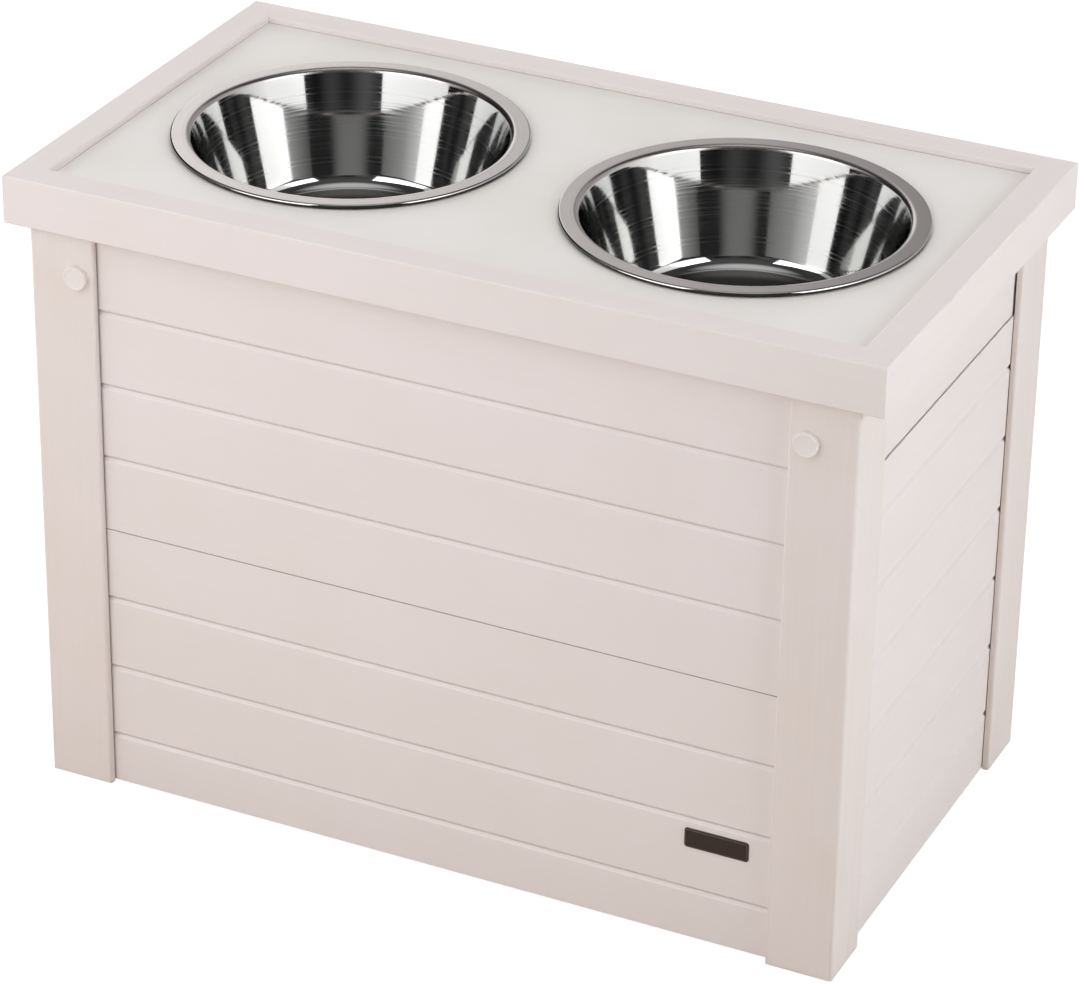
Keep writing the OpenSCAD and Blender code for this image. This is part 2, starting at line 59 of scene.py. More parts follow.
SIDES = ("left", "right")
ENDS = ("front", "rear")
WHITE = "FFFFFF"

# Sockets that share a name with another one of their node, so that only a number picks them
FIRST, SECOND = 0, 1
SHARE, VALUE_A, VALUE_B, COLOR_A, COLOR_B = 0, 2, 3, 6, 7
MIXED_VALUE, MIXED_COLOR = 0, 2
SHADER_A, SHADER_B = 1, 2

Point = tuple[float, float]
Place = tuple[float, float, float]
Band = tuple[float, float]
Color = tuple[float, float, float, float]

# Most of a noise texture's values lie in this band
NOISE_BAND: Band = (0.3, 0.7)


def linear(srgb: str) -> Color:
    """Turns an sRGB hex colour into the linear light that a shader takes.

    Args:
        srgb: Colour as six hex digits, with or without a leading hash.

    Returns:
        Red, green, blue and a full alpha.
    """
    knee, slope, offset, power = 0.04045, 12.92, 0.055, 2.4
    digits = srgb.lstrip("#")
    parts = [int(digits[i:i + 2], 16) / 255 for i in (0, 2, 4)]
    light = [p / slope if p <= knee else ((p + offset) / (1 + offset)) ** power for p in parts]
    return (light[0], light[1], light[2], 1.0)


def add_node(tree: bpy.types.NodeTree, kind: str, inputs: dict | None = None,
             **settings: object) -> bpy.types.Node:
    """Adds one node with its settings, values and links.

    Args:
        tree: Node tree that gets the node.
        kind: Type of the node, without the words that all shader nodes start with.
        inputs: For an input's name or number, a value or the output that feeds it.
        **settings: Attributes of the node itself.

    Returns:
        The new node.
    """
    node = tree.nodes.new("ShaderNode" + kind)
    for name, value in settings.items():
        setattr(node, name, value)
    for key, value in (inputs or {}).items():
        if isinstance(value, bpy.types.NodeSocket):
            tree.links.new(value, node.inputs[key])
        else:
            node.inputs[key].default_value = value
    return node


def new_material(name: str) -> tuple[bpy.types.Material, bpy.types.NodeTree]:
    """Makes an empty node material.

    Args:
        name: Name of the material.

    Returns:
        The material and its node tree.
    """
    material = bpy.data.materials.new(name)
    material.use_nodes = True
    material.node_tree.nodes.clear()
    return material, material.node_tree


@dataclass(frozen=True)
class Finish:
    """What all finishes share: a name, and a material made round the surface of its own."""

    name: str

    def build(self) -> bpy.types.Material:
        """Makes the material.

        Returns:
            The material, ready for a piece.
        """
        material, tree = new_material(self.name)
        place = add_node(tree, "TexCoord").outputs["Object"]
        shader = self.surface(tree, place)
        add_node(tree, "OutputMaterial", {"Surface": shader.outputs["BSDF"]})
        return material

    def surface(self, tree: bpy.types.NodeTree, place: bpy.types.NodeSocket) -> bpy.types.Node:
        """Adds the nodes that make this finish.

        Args:
            tree: Node tree of the material.
            place: Where on the piece the surface is, in metres.

        Returns:
            The shader of the surface.
        """
        raise NotImplementedError

    def shade_recess(self, tree: bpy.types.NodeTree, color: bpy.types.NodeSocket,
                     recess_mm: float, layers: Sequence[tuple[Band, str]]) -> bpy.types.NodeSocket:
        """Paints shade on the surface where other pieces stand close to it.

        Args:
            tree: Node tree of the material.
            color: Colour of the open surface.
            recess_mm: How near a piece has to be to count.
            layers: From the least to the most hidden, the shares of open air between which a hex
                colour of painted shade gives way to the one before it.

        Returns:
            The colour with its painted shade.
        """
        # Painted shade: the less open air reaches the surface, the more it takes the darker
        # colours
        shelter = add_node(tree, "AmbientOcclusion", {"Distance": recess_mm * MM}, samples=4)
        for (closed, opened), recess_shade_color in layers:
            openness = add_node(tree, "MapRange", {
                "Value": shelter.outputs["AO"], "From Min": closed, "From Max": opened})
            color = add_node(tree, "Mix", {
                SHARE: openness.outputs["Result"], COLOR_A: linear(recess_shade_color),
                COLOR_B: color}, data_type="RGBA").outputs[MIXED_COLOR]
        return color


class Grain(Enum):
    """Way in which a profile left its die, so the way that its fine streaks run."""

    ALONG_X = (1, 0, 0)
    ALONG_Y = (0, 1, 0)
    ALONG_Z = (0, 0, 1)


@dataclass(frozen=True)
class CompositeFinish(Finish):
    """Extruded wood-plastic composite with a smooth capped skin.

    It reads as a soft satin off-white: faint streaks from the die, slow shifts of tone from the
    wood meal under the skin, the tan core with a painted shade where two pieces meet, a darker
    painted shade deep in the gaps and a painted highlight on the edges.
    """

    grain: Grain
    color: str = "EAE0DF"
    warm_color: str = "E7DDD9"
    # Near other pieces: the core's tan, partly painted shade, and deep in the gaps a dark painted
    # shade
    core_tan_and_shade_color: str = "D6C6B8"
    gap_shade_color: str = "4A3528"
    # Painted highlight where the surface bends round an edge
    edge_highlight_color: str = "EEE6E3"
    # The real die lines are about 0.3 mm apart, and are drawn ten times as coarse to show
    streak_mm: float = 3.0
    streak_length_mm: float = 260.0
    tone_mm: float = 70.0
    tone_share: float = 0.65
    skin_mm: float = 1.1
    relief_mm: float = 0.015
    relief_strength: float = 0.3
    edge_mm: float = 0.35
    edge_bend: float = 0.75
    edge_highlight_share: float = 0.3
    recess_mm: float = 2.5
    core_tan_and_shade_band: Band = (0.4, 0.74)
    gap_shade_band: Band = (0.08, 0.32)
    roughness: Band = (0.45, 0.56)
    ior: float = 1.48
    specular: float = 0.3

    def surface(self, tree: bpy.types.NodeTree, place: bpy.types.NodeSocket) -> bpy.types.Node:
        """Adds the streaks, the tone, the painted edge highlight, the painted shade in the
        recesses and the fine relief.

        Args:
            tree: Node tree of the material.
            place: Where on the piece the surface is, in metres.

        Returns:
            The shader of the surface.
        """
        scale = [1 / ((self.streak_length_mm if along else self.streak_mm) * MM)
                 for along in self.grain.value]
        stretched = add_node(tree, "Mapping", {"Vector": place, "Scale": scale})
        streaks = add_node(tree, "TexNoise", {
            "Vector": stretched.outputs["Vector"], "Scale": 1.0, "Detail": 3.0, "Roughness": 0.6})
        tone = add_node(tree, "TexNoise", {
            "Vector": place, "Scale": 1 / (self.tone_mm * MM), "Detail": 2.0})
        skin = add_node(tree, "TexNoise", {
            "Vector": place, "Scale": 1 / (self.skin_mm * MM), "Detail": 2.0})
        color = self.skin_color(tree, streaks.outputs["Fac"], tone.outputs["Fac"])
        normal = add_node(tree, "NewGeometry").outputs["Normal"]
        if self.edge_mm:
            flat = normal
            normal = add_node(tree, "Bevel", {"Radius": self.edge_mm * MM},
                              samples=4).outputs["Normal"]
            # Painted highlight on the rounded edges
            color = self.paint_edge_highlight(tree, color, flat, normal)
        # Painted shade beside other pieces: the core's tan, then the gap's dark
        color = self.shade_recess(tree, color, self.recess_mm, (
            (self.core_tan_and_shade_band, self.core_tan_and_shade_color), (self.gap_shade_band, self.gap_shade_color)))
        gloss = add_node(tree, "MapRange", {
            "Value": streaks.outputs["Fac"],
            "From Min": NOISE_BAND[0], "From Max": NOISE_BAND[1],
            "To Min": self.roughness[0], "To Max": self.roughness[1]})
        for pattern in (streaks, skin):
            normal = add_node(tree, "Bump", {
                "Strength": self.relief_strength, "Distance": self.relief_mm * MM,
                "Height": pattern.outputs["Fac"], "Normal": normal}).outputs["Normal"]
        return add_node(tree, "BsdfPrincipled", {
            "Base Color": color, "Roughness": gloss.outputs["Result"], "IOR": self.ior,
            "Specular IOR Level": self.specular, "Normal": normal})

    def skin_color(self, tree: bpy.types.NodeTree, streaks: bpy.types.NodeSocket,
                   tone: bpy.types.NodeSocket) -> bpy.types.NodeSocket:
        """Blends the two colours of the skin by its streaks and its slow tone.

        Args:
            tree: Node tree of the material.
            streaks: Strength of the die's streaks.
            tone: Strength of the slow shifts.

        Returns:
            The colour of the open skin.
        """
        blend = add_node(tree, "Mix", {
            SHARE: self.tone_share, VALUE_A: streaks, VALUE_B: tone}, data_type="FLOAT")
        tint = add_node(tree, "MapRange", {
            "Value": blend.outputs[MIXED_VALUE],
            "From Min": NOISE_BAND[0], "From Max": NOISE_BAND[1]})
        return add_node(tree, "Mix", {
            SHARE: tint.outputs["Result"], COLOR_A: linear(self.color),
            COLOR_B: linear(self.warm_color)}, data_type="RGBA").outputs[MIXED_COLOR]

    def paint_edge_highlight(self, tree: bpy.types.NodeTree, color: bpy.types.NodeSocket,
                    flat: bpy.types.NodeSocket,
                    rounded: bpy.types.NodeSocket) -> bpy.types.NodeSocket:
        """Paints a highlight where the surface bends round an edge.

        Args:
            tree: Node tree of the material.
            color: Colour of the skin.
            flat: Normal of the mesh.
            rounded: Normal with its edges rounded.

        Returns:
            The colour with its painted highlight.
        """
        bend = add_node(tree, "VectorMath", {FIRST: rounded, SECOND: flat},
                        operation="DOT_PRODUCT")
        edge = add_node(tree, "MapRange", {
            "Value": bend.outputs["Value"], "From Min": 1.0, "From Max": self.edge_bend,
            "To Max": self.edge_highlight_share})
        return add_node(tree, "Mix", {
            SHARE: edge.outputs["Result"], COLOR_A: color, COLOR_B: linear(self.edge_highlight_color)},
            data_type="RGBA").outputs[MIXED_COLOR]


@dataclass(frozen=True)
class FoamBoardFinish(Finish):
    """Foamed PVC board with a smooth calendered face.

    It reads flatter and more neutral than the composite, with a fine pebble and no streaks.
    """

    color: str = "EDE8E4"
    shade_color: str = "E8E3DE"
    # Painted shade where another piece stands close to the board, as the bowls' beads and the
    # rails do
    gap_shade_color: str = "A39587"
    tone_mm: float = 90.0
    tone_band: Band = (0.35, 0.65)
    pebble_mm: float = 0.9
    relief_mm: float = 0.02
    relief_strength: float = 0.25
    edge_mm: float = 0.2
    recess_mm: float = 3.0
    gap_shade_band: Band = (0.02, 0.3)
    roughness: Band = (0.46, 0.56)
    ior: float = 1.5

    def surface(self, tree: bpy.types.NodeTree, place: bpy.types.NodeSocket) -> bpy.types.Node:
        """Adds the slow tone, the pebble and the painted shade beside other pieces.

        Args:
            tree: Node tree of the material.
            place: Where on the piece the surface is, in metres.

        Returns:
            The shader of the surface.
        """
        tone = add_node(tree, "TexNoise", {
            "Vector": place, "Scale": 1 / (self.tone_mm * MM), "Detail": 3.0})
        pebble = add_node(tree, "TexNoise", {
            "Vector": place, "Scale": 1 / (self.pebble_mm * MM), "Detail": 2.0})
        tint = add_node(tree, "MapRange", {
            "Value": tone.outputs["Fac"],
            "From Min": self.tone_band[0], "From Max": self.tone_band[1]})
        face = add_node(tree, "Mix", {
            SHARE: tint.outputs["Result"], COLOR_A: linear(self.color),
            COLOR_B: linear(self.shade_color)}, data_type="RGBA")
        # Painted shade beside other pieces
        color = self.shade_recess(tree, face.outputs[MIXED_COLOR], self.recess_mm, (
            (self.gap_shade_band, self.gap_shade_color),))
        gloss = add_node(tree, "MapRange", {
            "Value": pebble.outputs["Fac"],
            "From Min": NOISE_BAND[0], "From Max": NOISE_BAND[1],
            "To Min": self.roughness[0], "To Max": self.roughness[1]})
        bevel = add_node(tree, "Bevel", {"Radius": self.edge_mm * MM}, samples=4)
        relief = add_node(tree, "Bump", {
            "Strength": self.relief_strength, "Distance": self.relief_mm * MM,
            "Height": pebble.outputs["Fac"], "Normal": bevel.outputs["Normal"]})
        return add_node(tree, "BsdfPrincipled", {
            "Base Color": color, "Roughness": gloss.outputs["Result"], "IOR": self.ior,
            "Normal": relief.outputs["Normal"]})


@dataclass(frozen=True)
class MouldedFinish(Finish):
    """Injection-moulded polypropylene, as in the pegs and plugs.

    It reads as a slightly waxy off-white with the soft orange peel of a plain mould.
    """

    color: str = "EAE1DE"
    shade_color: str = "E6DCD7"
    peel_mm: float = 1.6
    relief_mm: float = 0.03
    relief_strength: float = 0.3
    tone_mm: float = 14.0
    edge_mm: float = 0.5
    roughness: Band = (0.35, 0.48)
    ior: float = 1.49

    def surface(self, tree: bpy.types.NodeTree, place: bpy.types.NodeSocket) -> bpy.types.Node:
        """Adds the orange peel and the slow tone.

        Args:
            tree: Node tree of the material.
            place: Where on the piece the surface is, in metres.

        Returns:
            The shader of the surface.
        """
        peel = add_node(tree, "TexNoise", {
            "Vector": place, "Scale": 1 / (self.peel_mm * MM), "Detail": 2.0})
        tone = add_node(tree, "TexNoise", {
            "Vector": place, "Scale": 1 / (self.tone_mm * MM), "Detail": 2.0})
        color = add_node(tree, "Mix", {
            SHARE: tone.outputs["Fac"], COLOR_A: linear(self.color),
            COLOR_B: linear(self.shade_color)}, data_type="RGBA")
        gloss = add_node(tree, "MapRange", {
            "Value": peel.outputs["Fac"],
            "To Min": self.roughness[0], "To Max": self.roughness[1]})
        bevel = add_node(tree, "Bevel", {"Radius": self.edge_mm * MM}, samples=4)
        relief = add_node(tree, "Bump", {
            "Strength": self.relief_strength, "Distance": self.relief_mm * MM,
            "Height": peel.outputs["Fac"], "Normal": bevel.outputs["Normal"]})
        return add_node(tree, "BsdfPrincipled", {
            "Base Color": color.outputs[MIXED_COLOR], "Roughness": gloss.outputs["Result"],
            "IOR": self.ior, "Normal": relief.outputs["Normal"]})


@dataclass(frozen=True)
class WheelMarks:
    """What a polishing wheel leaves on steel: fine rings, and how rough it is between them."""

    ring_mm: float
    relief_mm: float
    roughness: Band


class Polish(Enum):
    """State of a steel surface. The real rings are finer, and are drawn coarse to show."""

    MIRROR = WheelMarks(ring_mm=2.0, relief_mm=0.003, roughness=(0.03, 0.13))
    SATIN = WheelMarks(ring_mm=1.5, relief_mm=0.002, roughness=(0.2, 0.27))
    BRUSHED = WheelMarks(ring_mm=1.2, relief_mm=0.006, roughness=(0.28, 0.42))


@dataclass(frozen=True)
class SteelFinish(Finish):
    """Deep-drawn 18/8 stainless steel, polished while it turned.

    Mirror polish shows the studio sharply and only a trace of the rings that the wheel left.
    Satin and brushed steel blur it, and shimmer across the rings.
    """

    polish: Polish
    color: str = "CFCFCE"
    tone_mm: float = 25.0
    tone_share: float = 0.35
    dull_band: Band = (0.36, 0.64)
    brightness: float = 1.6

    def surface(self, tree: bpy.types.NodeTree, place: bpy.types.NodeSocket) -> bpy.types.Node:
        """Adds the rings round the bowl's axis and the patches in which they differ.

        Args:
            tree: Node tree of the material.
            place: Where on the piece the surface is, in metres.

        Returns:
            The shader of the surface.
        """
        marks = self.polish.value
        parts = add_node(tree, "SeparateXYZ", {"Vector": place})
        level = add_node(tree, "CombineXYZ", {"X": parts.outputs["X"], "Y": parts.outputs["Y"]})
        radius = add_node(tree, "VectorMath", {FIRST: level.outputs["Vector"]},
                          operation="LENGTH")
        # Along the section: the radius counts on the flat parts and the height on the wall
        along = add_node(tree, "Math", {
            FIRST: radius.outputs["Value"], SECOND: parts.outputs["Z"]}, operation="ADD")
        rings = add_node(tree, "TexNoise", {
            "W": along.outputs["Value"], "Scale": 1 / (marks.ring_mm * MM), "Detail": 2.0,
            "Roughness": 0.5}, noise_dimensions="1D")
        tone = add_node(tree, "TexNoise", {
            "Vector": place, "Scale": 1 / (self.tone_mm * MM), "Detail": 2.0})
        # Each ring took the wheel a little differently, in patches that shift round the bowl
        state = add_node(tree, "Mix", {
            SHARE: self.tone_share, VALUE_A: rings.outputs["Fac"], VALUE_B: tone.outputs["Fac"]},
            data_type="FLOAT")
        dull = add_node(tree, "MapRange", {
            "Value": state.outputs[MIXED_VALUE],
            "From Min": self.dull_band[0], "From Max": self.dull_band[1]})
        # Most rings came out bright and only a few stayed dull
        few = add_node(tree, "Math", {
            FIRST: dull.outputs["Result"], SECOND: self.brightness}, operation="POWER")
        gloss = add_node(tree, "MapRange", {
            "Value": few.outputs["Value"],
            "To Min": marks.roughness[0], "To Max": marks.roughness[1]})
        relief = add_node(tree, "Bump", {
            "Strength": 1.0, "Distance": marks.relief_mm * MM, "Height": rings.outputs["Fac"]})
        return add_node(tree, "BsdfPrincipled", {
            "Base Color": linear(self.color), "Metallic": 1.0,
            "Roughness": gloss.outputs["Result"], "Normal": relief.outputs["Normal"]})


@dataclass(frozen=True)
class ZincFinish(Finish):
    """Zinc-plated mild steel, as in small hinges and screws.

    It reads as a cool grey metal with a fine crystal mottle and duller patches.
    """

    color: str = "C3C5C8"
    dull_color: str = "9EA0A2"
    # The plating's real crystals are too fine to see, and are drawn coarse to show
    crystal_mm: float = 1.8
    relief_mm: float = 0.02
    relief_strength: float = 0.2
    tone_mm: float = 9.0
    tone_share: float = 0.7
    mottle_band: Band = (0.2, 0.7)
    edge_mm: float = 0.25
    roughness: Band = (0.28, 0.45)

    def surface(self, tree: bpy.types.NodeTree, place: bpy.types.NodeSocket) -> bpy.types.Node:
        """Adds the crystals and the duller patches.

        Args:
            tree: Node tree of the material.
            place: Where on the piece the surface is, in metres.

        Returns:
            The shader of the surface.
        """
        crystals = add_node(tree, "TexVoronoi", {
            "Vector": place, "Scale": 1 / (self.crystal_mm * MM)}, feature="SMOOTH_F1")
        tone = add_node(tree, "TexNoise", {
            "Vector": place, "Scale": 1 / (self.tone_mm * MM), "Detail": 3.0})
        mottle = add_node(tree, "Mix", {
            SHARE: self.tone_share, VALUE_A: crystals.outputs["Distance"],
            VALUE_B: tone.outputs["Fac"]}, data_type="FLOAT")
        color = add_node(tree, "Mix", {
            SHARE: mottle.outputs[MIXED_VALUE], COLOR_A: linear(self.color),
            COLOR_B: linear(self.dull_color)}, data_type="RGBA")
        gloss = add_node(tree, "MapRange", {
            "Value": mottle.outputs[MIXED_VALUE],
            "From Min": self.mottle_band[0], "From Max": self.mottle_band[1],
            "To Min": self.roughness[0], "To Max": self.roughness[1]})
        bevel = add_node(tree, "Bevel", {"Radius": self.edge_mm * MM}, samples=4)
        relief = add_node(tree, "Bump", {
            "Strength": self.relief_strength, "Distance": self.relief_mm * MM,
            "Height": crystals.outputs["Distance"], "Normal": bevel.outputs["Normal"]})
        return add_node(tree, "BsdfPrincipled", {
            "Base Color": color.outputs[MIXED_COLOR], "Metallic": 1.0,
            "Roughness": gloss.outputs["Result"], "Normal": relief.outputs["Normal"]})


@dataclass(frozen=True)
class BronzeFinish(Finish):
    """Cast zinc with a dark bronze plating, rubbed back on its edges.

    It reads as a brown-black plate whose raised rim catches a coppery light.
    """

    color: str = "3A2E28"
    rubbed_color: str = "8E776A"
    cast_mm: float = 1.4
    relief_mm: float = 0.05
    relief_strength: float = 0.4
    edge_mm: float = 0.7
    edge_band: Band = (0.995, 0.8)
    rub_band: Band = (0.1, 0.5)
    roughness: Band = (0.38, 0.6)
    metallic: float = 0.85

    def surface(self, tree: bpy.types.NodeTree, place: bpy.types.NodeSocket) -> bpy.types.Node:
        """Adds the cast grain and the rubbed edges.

        Args:
            tree: Node tree of the material.
            place: Where on the piece the surface is, in metres.

        Returns:
            The shader of the surface.
        """
        cast = add_node(tree, "TexNoise", {
            "Vector": place, "Scale": 1 / (self.cast_mm * MM), "Detail": 4.0})
        bevel = add_node(tree, "Bevel", {"Radius": self.edge_mm * MM}, samples=6)
        flat = add_node(tree, "NewGeometry")
        bend = add_node(tree, "VectorMath", {
            FIRST: bevel.outputs["Normal"], SECOND: flat.outputs["Normal"]},
            operation="DOT_PRODUCT")
        edge = add_node(tree, "MapRange", {
            "Value": bend.outputs["Value"],
            "From Min": self.edge_band[0], "From Max": self.edge_band[1]})
        patchy = add_node(tree, "Math", {
            FIRST: edge.outputs["Result"], SECOND: cast.outputs["Fac"]}, operation="MULTIPLY")
        rubbed = add_node(tree, "MapRange", {
            "Value": patchy.outputs["Value"],
            "From Min": self.rub_band[0], "From Max": self.rub_band[1]})
        color = add_node(tree, "Mix", {
            SHARE: rubbed.outputs["Result"], COLOR_A: linear(self.color),
            COLOR_B: linear(self.rubbed_color)}, data_type="RGBA")
        gloss = add_node(tree, "MapRange", {
            "Value": cast.outputs["Fac"],
            "To Min": self.roughness[0], "To Max": self.roughness[1]})
        relief = add_node(tree, "Bump", {
            "Strength": self.relief_strength, "Distance": self.relief_mm * MM,
            "Height": cast.outputs["Fac"], "Normal": bevel.outputs["Normal"]})
        return add_node(tree, "BsdfPrincipled", {
            "Base Color": color.outputs[MIXED_COLOR], "Metallic": self.metallic,
            "Roughness": gloss.outputs["Result"], "Normal": relief.outputs["Normal"]})


def dress_node(name: str, material: bpy.types.Material, edge_mm: float = 0.0) -> None:
    """Gives one carried-over node its finish and, where its edges are broken, a small round.

    Args:
        name: Name of the node.
        material: Finish of the whole node.
        edge_mm: Radius of its sharp edges, or zero to leave them.
    """
    weld_mm, round_segments, sharp_from = 0.001, 2, 40
    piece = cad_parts[name]
    piece.data.materials.clear()
    piece.data.materials.append(material)
    if edge_mm:
        weld = piece.modifiers.new("weld", "WELD")
        weld.merge_threshold = weld_mm * MM
        bevel = piece.modifiers.new("broken_edges", "BEVEL")
        bevel.width = edge_mm * MM
        bevel.segments = round_segments
        bevel.limit_method = "ANGLE"
        bevel.angle_limit = math.radians(sharp_from)
        bevel.harden_normals = True
    LOG.info("dressed %s with %s", name, material.name)


@dataclass
class Cabinet:
    """The box that stands on the floor: posts, grooved boards, floor, pegs, plugs and badge."""

    post_edge_mm: float = 0.3
    board_edge_mm: float = 0.35
    badge_edge_mm: float = 0.2
    # The shade beside the posts' slots reaches further than the one beside a joint
    post_recess_mm: float = 6.0

    def dress(self) -> None:
        """Gives each piece of the box its finish."""
        # The posts' colour is a little deeper than the boards'; their gap colour is a painted
        # shade
        upright = CompositeFinish("composite_skin_upright", Grain.ALONG_Z,
                                  color="E7DCDA", warm_color="E2D7D1",
                                  core_tan_and_shade_color="EDE1D4", gap_shade_color="553A28",
                                  recess_mm=self.post_recess_mm).build()
        across = CompositeFinish("composite_skin_across", Grain.ALONG_X).build()
        # Its gap colour is a painted shade deep in the gaps
        deep = CompositeFinish("composite_skin_deep", Grain.ALONG_Y, gap_shade_color="5C4A3C").build()
        foam = FoamBoardFinish("foamed_pvc_inside").build()
        moulded = MouldedFinish("moulded_polypropylene").build()
        zinc = ZincFinish("zinc_plated_screws").build()
        bronze = BronzeFinish("bronze_plated_casting").build()
        for end in ENDS:
            for side in SIDES:
                dress_node(f"{end}_{side}_post", upright, self.post_edge_mm)
                dress_node(f"{end}_{side}_peg", moulded)
            for level in ("upper", "lower"):
                dress_node(f"{end}_{level}_panel", across)
            dress_node(f"{end}_floor_cleat", foam, self.board_edge_mm)
        for side in SIDES:
            for part in ("rail", "panel"):
                dress_node(f"{side}_side_{part}", deep)
        dress_node("floor_panel", foam, self.board_edge_mm)
        dress_node("cleat_screws", zinc)
        for name in ("post_top_plugs", "post_foot_plugs"):
            dress_node(name, moulded)
        dress_node("badge_plate", bronze, self.badge_edge_mm)


@dataclass
class Lid:
    """The top that swings up: a mitred frame round a recessed board."""

    board_edge_mm: float = 0.2
    # The rails' rounds are real, and their mitres stay tight without a broken edge
    rail_edge_mm: float = 0.0
    rail_recess_mm: float = 1.2
    # Painted shade where the rails meet the board and the corner keys
    rail_gap_shade_color: str = "A3958A"

    def dress(self) -> None:
        """Gives the frame, the board and the corner keys their finish."""
        rails = (("composite_rail_across", Grain.ALONG_X, ENDS),
                 ("composite_rail_deep", Grain.ALONG_Y, SIDES))
        for name, grain, places in rails:
            finish = CompositeFinish(name, grain, gap_shade_color=self.rail_gap_shade_color,
                                     edge_mm=self.rail_edge_mm,
                                     recess_mm=self.rail_recess_mm).build()
            for place in places:
                dress_node(f"lid_{place}_rail", finish)
        dress_node("lid_board", FoamBoardFinish("foamed_pvc_top").build(), self.board_edge_mm)
        dress_node("lid_corner_keys", MouldedFinish("moulded_corner_key").build())


@dataclass
class Hinges:
    """Two small butt hinges between the rear posts and the lid's rear rail."""

    edge_mm: float = 0.15

    def dress(self) -> None:
        """Gives the leaves, pins and screws their plating."""
        zinc = ZincFinish("zinc_plated_hinge").build()
        for side in SIDES:
            for part in ("post", "lid"):
                dress_node(f"{side}_hinge_{part}_leaf", zinc, self.edge_mm)
        for name in ("hinge_pins", "hinge_post_screws", "hinge_lid_screws"):
            dress_node(name, zinc)


def arc(center: Point, radius: float, start: float, end: float, steps: int) -> list[Point]:
    """Points on an arc.

    Args:
        center: Middle of the arc.
        radius: Radius of the arc.
        start: First angle.
        end: Last angle.
        steps: Number of equal steps between the two.

    Returns:
        The points, both ends included.
    """
    angles = [math.radians(start + (end - start) * k / steps) for k in range(steps + 1)]
    return [(center[0] + radius * math.cos(a), center[1] + radius * math.sin(a)) for a in angles]


class Zone(Enum):
    """Stretch of a bowl in one state of its steel, in order from the middle of the inside."""

    FLOOR = 0
    WALL = 1
    RIM = 2
    BEAD = 3
    UNDER_BEAD = 4
    OUTSIDE = 5


